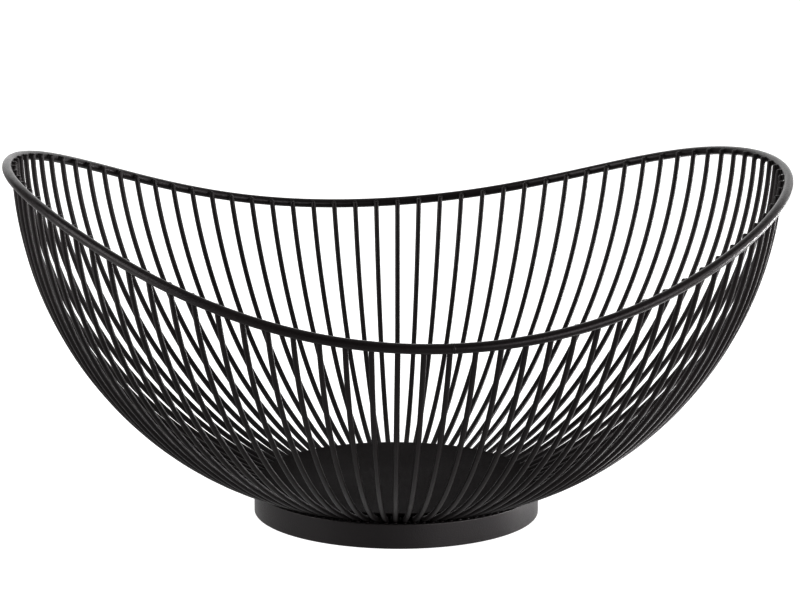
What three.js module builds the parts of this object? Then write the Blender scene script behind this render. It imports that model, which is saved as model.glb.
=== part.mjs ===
// A wire fruit bowl on a round foot. Its rim rises at two ends and dips at the two sides.
// Millimetres, +Z up. The origin is the middle of the foot's lower edge, and the rim's high ends lie on X.

import * as THREE from 'three';

// Driving dimensions

const weldGap = 0.3; // between pieces that are welded together

const footDiameter = 110.4;
const footHeight = 9.5;
const footWall = 2;

const plateThickness = 1;

const ribWire = 2;
const ribPairs = 48; // two neighbouring ribs are one bent wire
const ribTurn = 0.27; // degrees from X to the first rib, at the foot
const ribTwist = 0.45; // degrees that each rib turns about Z on its way up to the curve's top
const ribLevelRun = 3; // from the plate's edge in to where the ribs run level
const ribTail = 7; // from the plate's edge in to the bend
const ribTopLap = 0.9; // from the middle of the rim wire up to the rib's cut end

const footSlope = 17.3; // degrees that the ribs climb as they cross the foot
const lowerReach = 55.9; // how far the bowl's curve leans on that slope
const upperReach = 60.2; // how far below its top the curve leans on the upright
const bowlRadius = 145; // from the axis to the ribs' centreline at the curve's top
const curveSpare = 3; // from the highest cut end up to the curve's top

const rimWire = 3.6;
const rimEndHeight = 136; // weld line at the two high ends, on average
const rimSideHeight = 96.9; // weld line at the two low sides
const rimShoulder = -0.026; // second wave of the rim, as a share of half its rise
const rimCrest = -0.027; // third wave of the rim, as a share of half its rise
const rimUneven = 1.4; // how far the -X end stands above that average, and the +X end below it
const rimSeam = 270.8; // degrees from X to the butt weld

const roundSteps = 72;
const ribSides = 6;
const ribCurveSteps = 7;
const bendSteps = 3;
const rimSides = 8;

// Sizes that follow from them

const footRadius = footDiameter / 2;
const footInnerRadius = footRadius - footWall;
const ribRadius = ribWire / 2;
const rimRadius = rimWire / 2;
const ribCount = 2 * ribPairs;
const halfStep = Math.PI / ribCount;
const twist = THREE.MathUtils.degToRad(ribTwist);

// The ribs cross the foot's inner top edge on the slope, carry the plate's edge above it, then level out.
const slope = THREE.MathUtils.degToRad(footSlope);
const seatHeight = footHeight + weldGap + ribRadius / Math.cos(slope);
const plateRadius = footInnerRadius;
const plateBottom = seatHeight + ribRadius / Math.cos(slope) + weldGap;
const levelRadius = plateRadius - ribLevelRun;
const levelHeight = seatHeight - ribLevelRun * Math.tan(slope / 2);
const bendRadius = plateRadius - ribTail;

// The curve of every rib, as radius and height
const curveTop = Math.max(rimEndHeight, rimSideHeight) + rimUneven + ribTopLap + curveSpare;
const bowlCurve = new THREE.CubicBezierCurve(
  new THREE.Vector2(footInnerRadius, seatHeight),
  new THREE.Vector2(footInnerRadius + lowerReach * Math.cos(slope), seatHeight + lowerReach * Math.sin(slope)),
  new THREE.Vector2(bowlRadius, curveTop - upperReach),
  new THREE.Vector2(bowlRadius, curveTop),
);

// Share of the way along the bowl's curve where it reaches a height
function shareAtHeight(height) {
  let low = 0;
  let high = 1;
  while (high - low > 1e-7) {
    const middle = (low + high) / 2;
    if (bowlCurve.getPoint(middle).y < height) {
      low = middle;
    } else {
      high = middle;
    }
  }
  return (low + high) / 2;
}

// Height of the weld line between rim and ribs, at an angle from X
function weldHeight(angle) {
  const middle = (rimEndHeight + rimSideHeight) / 2;
  const wave = (1 - rimCrest) * Math.cos(2 * angle)
    + rimShoulder * (Math.cos(4 * angle) - 1)
    + rimCrest * Math.cos(6 * angle);
  const uneven = rimUneven * Math.cos(angle) * Math.cos(2 * angle);
  return middle + (rimEndHeight - rimSideHeight) / 2 * wave - uneven;
}

// Point at a radius, a height and an angle from X
function around(radius, height, angle) {
  return new THREE.Vector3(radius * Math.cos(angle), radius * Math.sin(angle), height);
}

// Middle of the rim wire at an angle from X, against the outer faces of the ribs
function rimStation(angle) {
  const share = shareAtHeight(weldHeight(angle));
  const rib = bowlCurve.getPoint(share);
  const along = bowlCurve.getTangent(share);
  const outward = ribRadius + weldGap + rimRadius;
  return around(rib.x + along.y * outward, rib.y - along.x * outward, angle);
}

// A path for an extrusion that steps from station to station, however far apart they are
class StationPath extends THREE.Curve {
  constructor(stations) {
    super();
    this.stations = stations;
  }

  getUtoTmapping(share) {
    return share;
  }

  getPoint(share, target = new THREE.Vector3()) {
    const index = Math.round(share * (this.stations.length - 1));
    return target.copy(this.stations[index]);
  }

  getTangent(share, target = new THREE.Vector3()) {
    const last = this.stations.length - 1;
    const index = Math.round(share * last);
    const before = this.direction(Math.max(index - 1, 0));
    const after = this.direction(Math.min(index, last - 1));
    return target.addVectors(before, after).normalize();
  }

  direction(index) {
    return new THREE.Vector3().subVectors(this.stations[index + 1], this.stations[index]).normalize();
  }
}

// A round wire with flat cut ends, along a list of stations
function wire(stations, radius, sides) {
  const section = new THREE.Shape();
  for (let side = 0; side < sides; side += 1) {
    const corner = around(radius, 0, 2 * Math.PI * side / sides);
    if (side === 0) {
      section.moveTo(corner.x, corner.y);
    } else {
      section.lineTo(corner.x, corner.y);
    }
  }
  const path = new StationPath(stations);
  return new THREE.ExtrudeGeometry(section, { steps: stations.length - 1, extrudePath: path });
}

// A solid turned about Z from corners given as radius and height
function turned(corners) {
  const profile = corners.map(([radius, height]) => new THREE.Vector2(radius, height));
  return new THREE.LatheGeometry(profile, roundSteps).rotateX(Math.PI / 2);
}

function piece(name, geometry) {
  const blackCoat = new THREE.MeshStandardMaterial({ color: 0x1c1c1d, roughness: 0.5, metalness: 0.3 });
  const mesh = new THREE.Mesh(geometry, blackCoat);
  mesh.name = name;
  return mesh;
}

// Foot

function footRing() {
  return piece('foot_ring', turned([
    [footInnerRadius, 0],
    [footRadius, 0],
    [footRadius, footHeight],
    [footInnerRadius, footHeight],
    [footInnerRadius, 0],
  ]));
}

// Base plate, its edge resting on the ribs

function basePlate() {
  return piece('base_plate', turned([
    [0, plateBottom],
    [plateRadius, plateBottom],
    [plateRadius, plateBottom + plateThickness],
    [0, plateBottom + plateThickness],
  ]));
}

// Ribs

// One rib from its cut end down to the bend, seen from the middle of its pair
function ribStations(side, middleAngle) {
  const angle = side * halfStep;
  const topShare = shareAtHeight(rimStation(middleAngle + angle + twist).z + ribTopLap);
  const stations = [];
  for (let step = 0; step <= ribCurveSteps; step += 1) {
    const share = topShare * (1 - step / ribCurveSteps);
    const point = bowlCurve.getPoint(share);
    stations.push(around(point.x, point.y, angle + twist * share));
  }
  stations.push(around(levelRadius, levelHeight, angle));
  stations.push(around(bendRadius, levelHeight, angle));
  return stations;
}

// Stations inside the bend that joins two ribs, on the circle that touches both of them
function bendStations() {
  const middle = bendRadius / Math.cos(halfStep);
  const radius = bendRadius * Math.tan(halfStep);
  const sweep = Math.PI - 2 * halfStep;
  const stations = [];
  for (let step = 1; step < bendSteps; step += 1) {
    const angle = Math.PI + sweep * (step / bendSteps - 0.5);
    stations.push(around(radius, levelHeight, angle).add(around(middle, 0, 0)));
  }
  return stations;
}

function ribPair(number) {
  const middleAngle = THREE.MathUtils.degToRad(ribTurn) + (4 * number + 1) * halfStep;
  const left = ribStations(1, middleAngle);
  const right = ribStations(-1, middleAngle);
  const stations = [...left, ...bendStations(), ...right.reverse()];
  const name = `rib_pair_${String(number + 1).padStart(2, '0')}`;
  const pair = piece(name, wire(stations, ribRadius, ribSides));
  pair.rotation.z = middleAngle;
  return pair;
}

// Rim, with a station at each rib

function rimWireRing() {
  const seam = THREE.MathUtils.degToRad(rimSeam);
  const halfGap = weldGap / (2 * bowlRadius);
  const stations = [];
  for (let step = 0; step <= ribCount; step += 1) {
    const share = step / ribCount;
    stations.push(rimStation(seam + halfGap + share * (2 * Math.PI - 2 * halfGap)));
  }
  return piece('rim_wire', wire(stations, rimRadius, rimSides));
}

// Bowl

const bowl = new THREE.Group();
bowl.add(footRing(), basePlate(), rimWireRing());
for (let number = 0; number < ribPairs; number += 1) {
  bowl.add(ribPair(number));
}

export default bowl;
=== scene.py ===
import math

import bpy
import numpy as np
from mathutils import Matrix, Vector


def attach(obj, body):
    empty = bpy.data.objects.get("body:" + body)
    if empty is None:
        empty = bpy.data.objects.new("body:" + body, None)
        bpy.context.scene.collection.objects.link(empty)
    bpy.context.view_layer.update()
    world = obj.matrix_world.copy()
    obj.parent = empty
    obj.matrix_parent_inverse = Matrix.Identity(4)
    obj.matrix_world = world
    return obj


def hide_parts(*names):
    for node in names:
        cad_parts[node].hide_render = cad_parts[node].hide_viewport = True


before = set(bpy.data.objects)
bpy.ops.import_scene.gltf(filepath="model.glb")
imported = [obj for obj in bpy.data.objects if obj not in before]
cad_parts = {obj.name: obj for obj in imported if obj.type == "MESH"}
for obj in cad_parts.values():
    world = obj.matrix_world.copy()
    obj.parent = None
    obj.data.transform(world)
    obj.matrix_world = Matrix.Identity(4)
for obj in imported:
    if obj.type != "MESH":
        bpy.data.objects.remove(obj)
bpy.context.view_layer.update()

MM = 0.001

# Sizes of the bowl in millimetres, the same as in the solid model

WELD_GAP = 0.3  # between solids that are welded together
FOOT_RADIUS = 55.2
FOOT_HEIGHT = 9.5
FOOT_WALL = 2.0
PLATE_THICKNESS = 1.0
RIB_RADIUS = 1.0
RIB_PAIRS = 48  # two neighbouring ribs are one bent wire
RIB_TURN = math.radians(0.27)  # from X to the first rib, at the foot
RIB_TWIST = math.radians(0.45)  # how far each rib turns about Z on its way up to the curve's top
RIB_LEVEL_RUN = 3.0  # from the plate's edge in to where the ribs run level
RIB_TAIL = 7.0  # from the plate's edge in to the bend
RIB_TOP_LAP = 0.9  # from the middle of the rim wire up to the rib's cut end
FOOT_SLOPE = math.radians(17.3)  # how steeply the ribs climb as they cross the foot
LOWER_REACH = 55.9  # how far the bowl's curve leans on that slope
UPPER_REACH = 60.2  # how far below its top the curve leans on the upright
BOWL_RADIUS = 145.0  # from the axis to the ribs' centreline at the curve's top
CURVE_SPARE = 3.0  # from the highest cut end up to the curve's top
RIM_RADIUS = 1.8
RIM_END_HEIGHT = 136.0  # weld line at the two high ends, on average
RIM_SIDE_HEIGHT = 96.9  # weld line at the two low sides
RIM_SHOULDER = -0.026  # second wave of the rim, as a share of half its rise
RIM_CREST = -0.027  # third wave of the rim, as a share of half its rise
RIM_UNEVEN = 1.4  # how far the -X end stands above that average, and the +X end below it
RIM_SEAM = math.radians(270.8)  # from X to the butt weld

# Sizes that only the finished look needs, in millimetres

WELD_SINK = 0.08  # how far a rib's top runs into the rim
WIRE_EDGE = 0.8  # rounding of the coated wire ends
SHEET_EDGE = 0.3  # rounding of the coated sheet edges
SEAM_BEAD_HEIGHT = 0.16  # of the low bead at the rim's seam
SEAM_BEAD_WIDTH = 0.5
GROOVE_DEPTH = 1.6  # of the groove along that bead's middle, in bead heights
GROOVE_SHARPNESS = 9.0  # the bead's width over the groove's, squared
RIM_BEAD = (1.2, 1.15, 0.6)  # half lengths of a weld at the rim: along the rib, across it and outward
RIM_BEAD_DROP = 0.3  # from the weld line down the rib to that bead's middle
FOOT_BEAD = (1.1, 0.9, 0.5)  # half lengths of a weld at the foot: outward, sideways and up
FOOT_BEAD_SHIFT = 0.4  # from the foot's inner face out to that bead's middle
PLATE_BEAD = (1.1, 0.9, 0.6)  # half lengths of a weld at the plate: outward, sideways and up
PLATE_BEAD_SHIFT = 0.9  # from the plate's edge in to that bead's middle

# Fineness of the meshes

ROUND_STEPS = 256  # around the foot and the plate
EDGE_STEPS = 5  # around the rounding of a sheet's edge
END_STEPS = 4  # around the rounding of a wire's end
PLATE_RINGS = (0.1, 0.4, 0.7, 0.9)  # rings that keep the plate's faces flat, as shares of its radius
RIB_SIDES = 14
RIB_CURVE_STEPS = 44
LEVEL_STEPS = 6
BEND_STEPS = 12
RIM_SIDES = 24
RIM_STEPS = 720
SEAM_STEPS = 80  # finer steps around the rim's seam
SEAM_REACH = math.radians(0.8)  # how far they go on each side of it
BEAD_RINGS = 8
BEAD_SIDES = 12
FLOOR_STEPS = 96
HALVINGS = 40  # in the search for a height on the bowl's curve

# Powder coat

HIGHLIGHT_TINT = (1, 0.96, 0.98, 1)
DARK_TONE = (0.9, 0.65, 0.7)  # red, green and blue, in shares of the coat's shade
LIGHT_TONE = (1.7, 1.3, 1.3)
DARK_STOP = 0.6  # where the tone starts to lighten, and where it is lightest
LIGHT_STOP = 0.93
NOISE_BAND = (0.3, 0.7)  # the part of each noise that is spread over the next four ranges
TONE_DRIFT = (0.85, 1.15)
TONE_SPECK = (0.5, 1.1)
GLOSS_DRIFT = (0.92, 1.08)
GLOSS_PEBBLE = (0.9, 1.12)  # in shares of the coat's roughness
DRIFT_SCALE = 40.0  # waves to a metre, as in the grain of each coat
DRIFT_DETAIL = 3.0
PEBBLE_DETAIL = 2.0
SPECK_DETAIL = 1.0
SPECK_FINENESS = 2.6  # how much finer the specks are than the pebbles
PEBBLE_STRENGTH = 0.6
PEBBLE_DEPTH = 0.1  # millimetres

# Floor, room and lights, in metres

WHITE = (1, 1, 1, 1)
FLOOR_RADIUS = 5.0
FLOOR_GLOW = 0.85
FLOOR_ROUGHNESS = 0.9
FLOOR_DARK = (0.24, 0.24, 0.24)
FLOOR_LIGHT = (0.27, 0.27, 0.27)
FLOOR_DRIFT_SCALE = 3.0
FLOOR_DRIFT_DETAIL = 2.0
ROOM_GLOW = 0.12
GLOW_WATTS = 4.0  # power of a light's square metre that shows as white
LYING_HEIGHT = 0.001  # of the lights that lie on the floor

# Camera, as placed for the photograph, in millimetres

TURN = math.radians(-7.0348)
RISE = math.radians(11.947)
ROLL = math.radians(0.3478)
DISTANCE = 1220.98
AIM_SIDE = 0.986
AIM_HEIGHT = 83.287
FOCAL_PIXELS = 3174.9
IMAGE_WIDTH = 800
NEAREST = 50.0
FARTHEST = 50000.0
PICTURE_GAMMA = 0.75

# Sizes that follow from the bowl's own

HALF_STEP = math.pi / (2 * RIB_PAIRS)
FOOT_INNER_RADIUS = FOOT_RADIUS - FOOT_WALL
PLATE_RADIUS = FOOT_INNER_RADIUS
SLANT_RADIUS = RIB_RADIUS / math.cos(FOOT_SLOPE)
SEAT_HEIGHT = FOOT_HEIGHT + WELD_GAP + SLANT_RADIUS
PLATE_BOTTOM = SEAT_HEIGHT + SLANT_RADIUS + WELD_GAP
PLATE_TOP = PLATE_BOTTOM + PLATE_THICKNESS
LEVEL_RADIUS = PLATE_RADIUS - RIB_LEVEL_RUN
LEVEL_HEIGHT = SEAT_HEIGHT - RIB_LEVEL_RUN * math.tan(FOOT_SLOPE / 2)
BEND_RADIUS = PLATE_RADIUS - RIB_TAIL
RIB_LEAN = WELD_GAP + WELD_SINK
CURVE_TOP = RIM_END_HEIGHT + RIM_UNEVEN + RIB_TOP_LAP + CURVE_SPARE


# The bowl's curve, as radius and height

def unit(vector):
    return vector / np.linalg.norm(vector)


def around(radius, height, angle):
    """Point at a radius, a height and an angle from X."""
    return np.array((radius * math.cos(angle), radius * math.sin(angle), height))


def bowl_corners(lean):
    """The curve's four corners. lean moves its upper part outward."""
    foot = np.array((FOOT_INNER_RADIUS, SEAT_HEIGHT))
    low = foot + LOWER_REACH * np.array((math.cos(FOOT_SLOPE), math.sin(FOOT_SLOPE)))
    high = np.array((BOWL_RADIUS + lean, CURVE_TOP - UPPER_REACH))
    top = np.array((BOWL_RADIUS + lean, CURVE_TOP))
    return foot, low, high, top


def bowl_point(share, lean=0.0):
    foot, low, high, top = bowl_corners(lean)
    rest = 1 - share
    lower = rest ** 3 * foot + 3 * rest ** 2 * share * low
    return lower + 3 * rest * share ** 2 * high + share ** 3 * top


def bowl_tangent(share, lean=0.0):
    foot, low, high, top = bowl_corners(lean)
    rest = 1 - share
    return unit(rest ** 2 * (low - foot) + 2 * rest * share * (high - low) + share ** 2 * (top - high))


def share_at_height(height, lean=0.0):
    """Share of the way along the curve where it reaches a height."""
    low, high = 0.0, 1.0
    for _ in range(HALVINGS):
        middle = (low + high) / 2
        if bowl_point(middle, lean)[1] < height:
            low = middle
        else:
            high = middle
    return (low + high) / 2


def weld_height(angle):
    """Height of the weld line between rim and ribs, at an angle from X."""
    wave = (1 - RIM_CREST) * math.cos(2 * angle)
    wave += RIM_SHOULDER * (math.cos(4 * angle) - 1)
    wave += RIM_CREST * math.cos(6 * angle)
    uneven = RIM_UNEVEN * math.cos(angle) * math.cos(2 * angle)
    return (RIM_END_HEIGHT + RIM_SIDE_HEIGHT + (RIM_END_HEIGHT - RIM_SIDE_HEIGHT) * wave) / 2 - uneven


def rim_point(angle):
    """Middle of the rim wire at an angle from X."""
    share = share_at_height(weld_height(angle))
    radius, height = bowl_point(share)
    along_radius, along_height = bowl_tangent(share)
    outward = RIB_RADIUS + WELD_GAP + RIM_RADIUS
    return around(radius + along_height * outward, height - along_radius * outward, angle)


# Meshes

def add_object(name, data):
    thing = bpy.data.objects.new(name, data)
    bpy.context.scene.collection.objects.link(thing)
    return thing


def make_piece(name, vertices, faces, material, replaced=()):
    mesh = bpy.data.meshes.new(name)
    mesh.from_pydata((np.asarray(vertices) * MM).tolist(), [], faces)
    mesh.polygons.foreach_set("use_smooth", [True] * len(mesh.polygons))
    mesh.materials.append(material)
    piece = add_object(name, mesh)
    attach(piece, "root")
    if replaced:
        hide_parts(*replaced)


def ring_faces(rings, sides, closed):
    """Faces between neighbouring rings of vertices."""
    faces = []
    for ring in range(rings if closed else rings - 1):
        here = ring * sides
        there = (ring + 1) % rings * sides
        for side in range(sides):
            turn = (side + 1) % sides
            faces.append((here + side, here + turn, there + turn, there + side))
    return faces


def carried_across(along):
    """A direction square to each tangent of an open path, carried along it without twist."""
    across = [np.cross(along[0], (0.0, 0.0, 1.0))]
    for tangent in along[1:]:
        across.append(across[-1] - tangent * np.dot(across[-1], tangent))
    return np.array(across)


def wire_rings(points, radii, sides, closed):
    """Vertices of round sections square to a path."""
    points = np.asarray(points)
    if closed:
        along = np.roll(points, -1, 0) - np.roll(points, 1, 0)
    else:
        along = np.gradient(points, axis=0)
    along = along / np.linalg.norm(along, axis=1)[:, None]
    across = np.cross(along, (0.0, 0.0, 1.0)) if closed else carried_across(along)
    across = across / np.linalg.norm(across, axis=1)[:, None]
    other = np.cross(along, across)
    turns = 2 * math.pi * np.arange(sides) / sides
    spokes = across[:, None] * np.cos(turns)[:, None] + other[:, None] * np.sin(turns)[:, None]
    rings = points[:, None] + spokes * np.asarray(radii)[:, None, None]
    return rings.reshape(-1, 3)


def rounded_end(end, outward, radius):
    """Stations that round off the cut end of a wire, from its tip back to its full width."""
    points, radii = [], []
    for step in range(END_STEPS + 1):
        turn = math.pi / 2 * step / END_STEPS
        points.append(end - outward * WIRE_EDGE * (1 - math.cos(turn)))
        radii.append(radius - WIRE_EDGE * (1 - math.sin(turn)))
    return points, radii


def rounded_outline(corners, edge):
    """An outline with rounded corners, and a point on each side of a corner to keep the sides flat."""
    outline = []
    for index, corner in enumerate(corners):
        corner = np.array(corner)
        before = unit(np.array(corners[index - 1]) - corner)
        after = unit(np.array(corners[(index + 1) % len(corners)]) - corner)
        middle = corner + edge * (before + after)
        outline.append(corner + 2 * edge * before)
        for step in range(EDGE_STEPS + 1):
            turn = math.pi / 2 * step / EDGE_STEPS
            outline.append(middle - edge * (after * math.cos(turn) + before * math.sin(turn)))
        outline.append(corner + 2 * edge * after)
    return outline


def turned(outline):
    """Vertices of an outline of radius and height, turned about Z."""
    vertices = []
    for step in range(ROUND_STEPS):
        angle = 2 * math.pi * step / ROUND_STEPS
        vertices += [around(radius, height, angle) for radius, height in outline]
    return vertices


# Materials

def noise(tree, scale, detail):
    """A noise over the object's own coordinates."""
    place = tree.nodes.new("ShaderNodeTexCoord")
    node = tree.nodes.new("ShaderNodeTexNoise")
    node.inputs["Scale"].default_value = scale
    node.inputs["Detail"].default_value = detail
    tree.links.new(place.outputs["Object"], node.inputs["Vector"])
    return node.outputs["Fac"]


def spread(tree, value, low, high):
    """The middle band of a noise, spread from low to high."""
    node = tree.nodes.new("ShaderNodeMapRange")
    node.inputs["From Min"].default_value = NOISE_BAND[0]
    node.inputs["From Max"].default_value = NOISE_BAND[1]
    node.inputs["To Min"].default_value = low
    node.inputs["To Max"].default_value = high
    tree.links.new(value, node.inputs["Value"])
    return node.outputs["Result"]


def product(tree, first, second):
    node = tree.nodes.new("ShaderNodeMath")
    node.operation = "MULTIPLY"
    tree.links.new(first, node.inputs[0])
    tree.links.new(second, node.inputs[1])
    return node.outputs["Value"]


def ramp(tree, value, *stops):
    """A colour that runs between two stops, each a position and a colour."""
    node = tree.nodes.new("ShaderNodeValToRGB")
    for element, (position, colour) in zip(node.color_ramp.elements, stops):
        element.position = position
        element.color = (*colour, 1)
    tree.links.new(value, node.inputs["Fac"])
    return node.outputs["Color"]


def powder_coat(name, shade, sheen, roughness, grain):
    """Satin black powder coat: a fine pebbled skin with a slow drift in tone and gloss."""
    material = bpy.data.materials.new(name)
    material.use_nodes = True
    tree = material.node_tree
    shader = tree.nodes["Principled BSDF"]
    shader.inputs["Specular IOR Level"].default_value = sheen
    shader.inputs["Specular Tint"].default_value = HIGHLIGHT_TINT
    drift = noise(tree, DRIFT_SCALE, DRIFT_DETAIL)
    pebble = noise(tree, grain, PEBBLE_DETAIL)
    speck = noise(tree, grain * SPECK_FINENESS, SPECK_DETAIL)

    mottle = product(tree, spread(tree, drift, *TONE_DRIFT), spread(tree, speck, *TONE_SPECK))
    dark = [shade * part for part in DARK_TONE]
    light = [shade * part for part in LIGHT_TONE]
    tone = ramp(tree, mottle, (DARK_STOP, dark), (LIGHT_STOP, light))
    tree.links.new(tone, shader.inputs["Base Color"])

    pebble_gloss = spread(tree, pebble, *[roughness * part for part in GLOSS_PEBBLE])
    gloss = product(tree, spread(tree, drift, *GLOSS_DRIFT), pebble_gloss)
    tree.links.new(gloss, shader.inputs["Roughness"])

    skin = tree.nodes.new("ShaderNodeBump")
    skin.inputs["Strength"].default_value = PEBBLE_STRENGTH
    skin.inputs["Distance"].default_value = PEBBLE_DEPTH * MM
    tree.links.new(pebble, skin.inputs["Height"])
    tree.links.new(skin.outputs["Normal"], shader.inputs["Normal"])
    return material


def pale_floor(name, glow):
    """Matt pale grey sheet with a faint drift in tone, which glows."""
    material = bpy.data.materials.new(name)
    material.use_nodes = True
    tree = material.node_tree
    shader = tree.nodes["Principled BSDF"]
    shader.inputs["Roughness"].default_value = FLOOR_ROUGHNESS
    shader.inputs["Specular IOR Level"].default_value = 0.0
    shader.inputs["Emission Color"].default_value = WHITE
    shader.inputs["Emission Strength"].default_value = glow
    drift = noise(tree, FLOOR_DRIFT_SCALE, FLOOR_DRIFT_DETAIL)
    tone = ramp(tree, drift, (0.0, FLOOR_DARK), (1.0, FLOOR_LIGHT))
    tree.links.new(tone, shader.inputs["Base Color"])
    return material


rim_coat = powder_coat("rim_powder_coat", shade=0.004, sheen=0.16, roughness=0.4, grain=1300.0)
rib_coat = powder_coat("rib_powder_coat", shade=0.004, sheen=0.17, roughness=0.42, grain=2200.0)
foot_coat = powder_coat("foot_powder_coat", shade=0.003, sheen=0.33, roughness=0.42, grain=2000.0)
plate_coat = powder_coat("plate_powder_coat", shade=0.004, sheen=0.04, roughness=0.75, grain=2000.0)


# Foot ring

def foot_band():
    corners = [
        (FOOT_INNER_RADIUS, 0),
        (FOOT_RADIUS, 0),
        (FOOT_RADIUS, FOOT_HEIGHT),
        (FOOT_INNER_RADIUS, FOOT_HEIGHT),
    ]
    outline = rounded_outline(corners, SHEET_EDGE)
    faces = ring_faces(ROUND_STEPS, len(outline), True)
    make_piece("foot_band", turned(outline), faces, foot_coat, ["foot_ring"])


foot_band()


# Base plate

def disc_outline():
    """Half of the plate's section, from near the axis below, round the edge, to near the axis above."""
    corners = [(0, PLATE_BOTTOM), (PLATE_RADIUS, PLATE_BOTTOM), (PLATE_RADIUS, PLATE_TOP), (0, PLATE_TOP)]
    rounded = rounded_outline(corners, SHEET_EDGE)
    per_corner = len(rounded) // len(corners)
    under = [(PLATE_RADIUS * share, PLATE_BOTTOM) for share in PLATE_RINGS]
    over = [(PLATE_RADIUS * share, PLATE_TOP) for share in reversed(PLATE_RINGS)]
    return under + rounded[per_corner:3 * per_corner] + over


def base_disc():
    outline = disc_outline()
    count = len(outline)
    faces = []
    for step in range(ROUND_STEPS):
        here = step * count
        there = (step + 1) % ROUND_STEPS * count
        for index in range(count - 1):
            faces.append((here + index, there + index, there + index + 1, here + index + 1))
    faces.append([step * count for step in reversed(range(ROUND_STEPS))])
    faces.append([step * count + count - 1 for step in range(ROUND_STEPS)])
    make_piece("base_disc", turned(outline), faces, plate_coat, ["base_plate"])


base_disc()


# Ribs, each pair one wire

def level_stations():
    """Radius and height from the slope over the foot to level under the plate, and in to the bend."""
    arc_radius = RIB_LEVEL_RUN / math.sin(FOOT_SLOPE)
    stations = []
    for step in range(1, LEVEL_STEPS + 1):
        turn = FOOT_SLOPE * (1 - step / LEVEL_STEPS)
        rise = arc_radius * (1 - math.cos(turn))
        stations.append((LEVEL_RADIUS + arc_radius * math.sin(turn), LEVEL_HEIGHT + rise))
    stations.append(((LEVEL_RADIUS + BEND_RADIUS) / 2, LEVEL_HEIGHT))
    stations.append((BEND_RADIUS, LEVEL_HEIGHT))
    return stations


def rib_path(angle):
    """Points of one rib, from the tip of its cut end down to the bend, and the wire's radius at each."""
    end_share = share_at_height(rim_point(angle + RIB_TWIST)[2] + RIB_TOP_LAP, RIB_LEAN)
    outward = bowl_tangent(end_share, RIB_LEAN)
    stations, radii = rounded_end(bowl_point(end_share, RIB_LEAN), outward, RIB_RADIUS)
    shares = [end_share] * len(stations)
    start_share = share_at_height(stations[-1][1] - WIRE_EDGE, RIB_LEAN)
    for step in range(RIB_CURVE_STEPS + 1):
        shares.append(start_share * (1 - step / RIB_CURVE_STEPS))
        stations.append(bowl_point(shares[-1], RIB_LEAN))
    stations += level_stations()
    shares += [0.0] * (len(stations) - len(shares))
    radii += [RIB_RADIUS] * (len(stations) - len(radii))
    points = [around(*station, angle + RIB_TWIST * share) for station, share in zip(stations, shares)]
    return points, radii


def bend_path(middle_angle):
    """Points inside the bend that joins two ribs, on the circle that touches both."""
    centre = around(BEND_RADIUS / math.cos(HALF_STEP), LEVEL_HEIGHT, middle_angle)
    radius = BEND_RADIUS * math.tan(HALF_STEP)
    sweep = math.pi - 2 * HALF_STEP
    points = []
    for step in range(1, BEND_STEPS):
        angle = middle_angle + math.pi + sweep * (0.5 - step / BEND_STEPS)
        points.append(centre + around(radius, 0, angle))
    return points


def rib_wire(number):
    middle_angle = RIB_TURN + (4 * number + 1) * HALF_STEP
    right, right_radii = rib_path(middle_angle - HALF_STEP)
    left, left_radii = rib_path(middle_angle + HALF_STEP)
    bend = bend_path(middle_angle)
    points = left + bend[::-1] + right[::-1]
    radii = left_radii + [RIB_RADIUS] * len(bend) + right_radii[::-1]
    vertices = wire_rings(points, radii, RIB_SIDES, False)
    faces = ring_faces(len(points), RIB_SIDES, False)
    faces.append(list(reversed(range(RIB_SIDES))))
    faces.append(list(range(len(vertices) - RIB_SIDES, len(vertices))))
    name = f"rib_wire_{number + 1:02d}"
    make_piece(name, vertices, faces, rib_coat, [f"rib_pair_{number + 1:02d}"])


for number in range(RIB_PAIRS):
    rib_wire(number)


# Rim, with a low bead and a fine groove at its butt weld

def rim_width(angle):
    """Radius of the rim wire at an angle from X."""
    away = ((angle - RIM_SEAM) * BOWL_RADIUS / SEAM_BEAD_WIDTH) ** 2
    groove = GROOVE_DEPTH * math.exp(-GROOVE_SHARPNESS * away)
    return RIM_RADIUS + SEAM_BEAD_HEIGHT * math.exp(-away) * (1 - groove)


def rim_angles():
    """Angles of the rim's stations, finer around its seam."""
    even = [2 * math.pi * step / RIM_STEPS for step in range(RIM_STEPS)]
    clear = [angle for angle in even if abs(angle - RIM_SEAM) > SEAM_REACH]
    seam = [RIM_SEAM + SEAM_REACH * (2 * step / SEAM_STEPS - 1) for step in range(SEAM_STEPS + 1)]
    return sorted(clear + seam)


def rim_ring():
    angles = rim_angles()
    points = [rim_point(angle) for angle in angles]
    radii = [rim_width(angle) for angle in angles]
    vertices = wire_rings(points, radii, RIM_SIDES, True)
    faces = ring_faces(len(angles), RIM_SIDES, True)
    make_piece("rim_ring", vertices, faces, rim_coat, ["rim_wire"])


rim_ring()


# Welds, small rounded beads where each rib meets the rim, the foot and the plate

def weld_bead(middle, axes):
    """Vertices and faces of a rounded bead with the given half axes."""
    axes = np.array(axes)
    vertices = [middle + axes[2], middle - axes[2]]
    for ring in range(1, BEAD_RINGS):
        tilt = math.pi * ring / BEAD_RINGS
        for side in range(BEAD_SIDES):
            turn = 2 * math.pi * side / BEAD_SIDES
            level = axes[0] * math.cos(turn) + axes[1] * math.sin(turn)
            vertices.append(middle + level * math.sin(tilt) + axes[2] * math.cos(tilt))
    faces = []
    last = 2 + (BEAD_RINGS - 2) * BEAD_SIDES
    for side in range(BEAD_SIDES):
        turn = (side + 1) % BEAD_SIDES
        faces.append((0, 2 + side, 2 + turn))
        faces.append((1, last + turn, last + side))
        for ring in range(BEAD_RINGS - 2):
            here = 2 + ring * BEAD_SIDES
            faces.append((here + side, here + BEAD_SIDES + side, here + BEAD_SIDES + turn, here + turn))
    return vertices, faces


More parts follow.
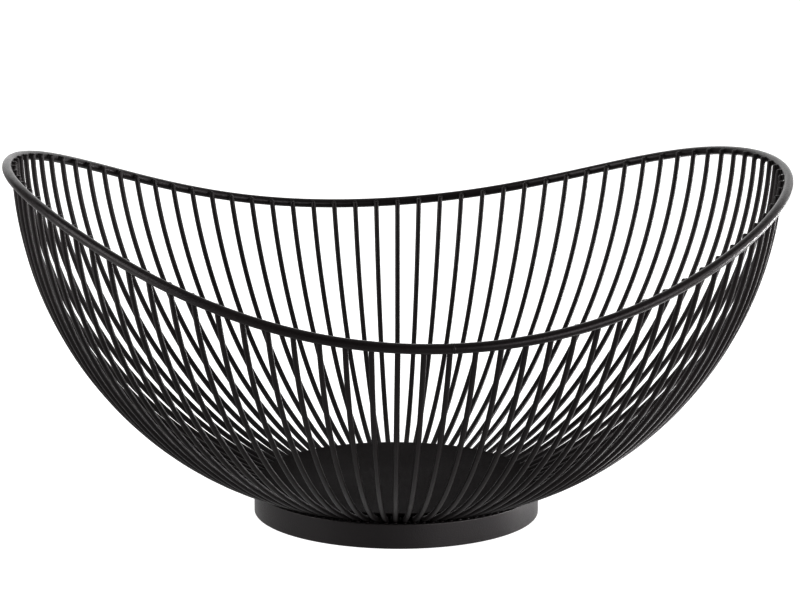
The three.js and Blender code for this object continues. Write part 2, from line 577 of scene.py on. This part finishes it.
def weld_row(name, place_bead):
    """One piece that holds a bead at every rib."""
    vertices, faces = [], []
    for rib in range(2 * RIB_PAIRS):
        bead_vertices, bead_faces = weld_bead(*place_bead(RIB_TURN + 2 * rib * HALF_STEP))
        faces += [tuple(index + len(vertices) for index in face) for face in bead_faces]
        vertices += bead_vertices
    make_piece(name, vertices, faces, rib_coat)


def level_axes(angle, lengths):
    """Half axes of a bead that lies level: outward, sideways and up."""
    outward, sideways, up = lengths
    return around(outward, 0, angle), around(sideways, 0, angle + math.pi / 2), np.array((0, 0, up))


def rim_bead(angle):
    share = share_at_height(weld_height(angle + RIB_TWIST))
    angle += RIB_TWIST * share
    radius, height = bowl_point(share)
    along_radius, along_height = bowl_tangent(share)
    outward = around(along_height, -along_radius, angle)
    along = around(along_radius, along_height, angle)
    sideways = np.cross(outward, along)
    middle = around(radius, height, angle) + outward * (RIB_RADIUS + WELD_GAP / 2) - along * RIM_BEAD_DROP
    return middle, (along * RIM_BEAD[0], sideways * RIM_BEAD[1], outward * RIM_BEAD[2])


def foot_bead(angle):
    middle = around(FOOT_INNER_RADIUS + FOOT_BEAD_SHIFT, FOOT_HEIGHT + WELD_GAP / 2, angle)
    return middle, level_axes(angle, FOOT_BEAD)


def plate_bead(angle):
    middle = around(PLATE_RADIUS - PLATE_BEAD_SHIFT, PLATE_BOTTOM - WELD_GAP, angle)
    return middle, level_axes(angle, PLATE_BEAD)


weld_row("rim_welds", rim_bead)
weld_row("foot_welds", foot_bead)
weld_row("plate_welds", plate_bead)


# Floor, a pale sheet that glows evenly, with a disc inside the foot that doesn't glow: painted shade
# under the foot and plate

def floor_sheet():
    vertices, faces = [], []
    for step in range(FLOOR_STEPS):
        angle = 2 * math.pi * step / FLOOR_STEPS
        vertices.append(around(FOOT_INNER_RADIUS * MM, 0, angle))
        vertices.append(around(FLOOR_RADIUS, 0, angle))
        turn = (step + 1) % FLOOR_STEPS
        faces.append((2 * step, 2 * step + 1, 2 * turn + 1, 2 * turn))
    faces.append([2 * step for step in range(FLOOR_STEPS)])
    mesh = bpy.data.meshes.new("floor")
    mesh.from_pydata([tuple(vertex) for vertex in vertices], [], faces)
    mesh.materials.append(pale_floor("glowing_floor", FLOOR_GLOW))
    # the disc inside the foot gets no glow, which paints shade under the plate
    mesh.materials.append(pale_floor("painted_shade_floor", 0.0))
    mesh.polygons[FLOOR_STEPS].material_index = 1
    floor = add_object("floor", mesh)


floor_sheet()

# Room

world = bpy.data.worlds.new("studio")
world.use_nodes = True
background = world.node_tree.nodes["Background"]
background.inputs["Color"].default_value = WHITE
background.inputs["Strength"].default_value = ROOM_GLOW
bpy.context.scene.world = world


# Lights, placed in metres and in degrees from X

def softbox(name, place, facing, width, height, glow):
    """A soft light, out of the camera's sight, whose face would show as white at a glow of 1."""
    data = bpy.data.lights.new(name, "AREA")
    data.shape = "RECTANGLE"
    data.size = width
    data.size_y = height
    data.energy = GLOW_WATTS * width * height * glow
    lamp = add_object(name, data)
    lamp.location = place
    lamp.rotation_euler = Vector(facing).to_track_quat("-Z", "Y").to_euler()
    lamp.visible_camera = False


def standing_softbox(name, azimuth, distance, low, high, width, glow):
    """A soft light that stands upright and faces the bowl's axis."""
    place = around(distance, (low + high) / 2, math.radians(azimuth))
    softbox(name, place, (-place[0], -place[1], 0), width, high - low, glow)


def lying_softbox(name, side, depth, width, glow):
    """A square soft light that lies on the floor and faces up."""
    softbox(name, (side, depth, LYING_HEIGHT), (0, 0, 1), width, width, glow)


standing_softbox("right_low", azimuth=12, distance=0.75, low=0.003, high=0.04, width=0.36, glow=100.0)
standing_softbox("right_back", azimuth=30, distance=2.5, low=0.05, high=0.6, width=0.55, glow=3.5)
standing_softbox("right_high", azimuth=-4, distance=1.2, low=0.35, high=1.1, width=0.8, glow=5.0)
standing_softbox("right_side", azimuth=-45, distance=1.2, low=0.003, high=0.55, width=1.3, glow=10.5)
standing_softbox("left_low", azimuth=206, distance=1.2, low=0.003, high=0.14, width=0.6, glow=2.0)
standing_softbox("left_side", azimuth=186, distance=1.2, low=0.17, high=1.1, width=0.95, glow=10.0)
standing_softbox("back_low", azimuth=86, distance=2.0, low=0.01, high=0.25, width=2.4, glow=2.2)
standing_softbox("back_sheet", azimuth=78, distance=2.0, low=0.26, high=1.8, width=3.3, glow=2.3)
softbox("overhead", place=(0, 0.2, 2.0), facing=(0, 0, -1), width=2.0, height=2.0, glow=1.0)
lying_softbox("right_floor", side=0.16, depth=-0.02, width=0.155, glow=2.9)
lying_softbox("right_far_floor", side=0.42, depth=0.12, width=0.27, glow=2.5)
lying_softbox("right_back_floor", side=0.22, depth=0.26, width=0.23, glow=3.2)
lying_softbox("left_floor", side=-0.34, depth=-0.1, width=0.21, glow=3.0)
lying_softbox("back_floor", side=0.32, depth=0.48, width=0.6, glow=2.5)


# Camera

def photo_camera():
    data = bpy.data.cameras.new("camera")
    data.sensor_fit = "HORIZONTAL"
    data.lens = FOCAL_PIXELS * data.sensor_width / IMAGE_WIDTH
    data.clip_start = NEAREST * MM
    data.clip_end = FARTHEST * MM
    back = Vector((math.sin(TURN) * math.cos(RISE), -math.cos(TURN) * math.cos(RISE), math.sin(RISE)))
    level_right = Vector((math.cos(TURN), math.sin(TURN), 0))
    level_up = back.cross(level_right)
    right = level_right * math.cos(ROLL) + level_up * math.sin(ROLL)
    up = back.cross(right)
    place = (level_right * AIM_SIDE + Vector((0, 0, AIM_HEIGHT)) + back * DISTANCE) * MM
    camera = add_object("camera", data)
    camera.matrix_world = Matrix.Translation(place) @ Matrix((right, up, back)).transposed().to_4x4()
    return camera


bpy.context.scene.camera = photo_camera()

bpy.context.scene.view_settings.view_transform = "Standard"
bpy.context.scene.view_settings.gamma = PICTURE_GAMMA
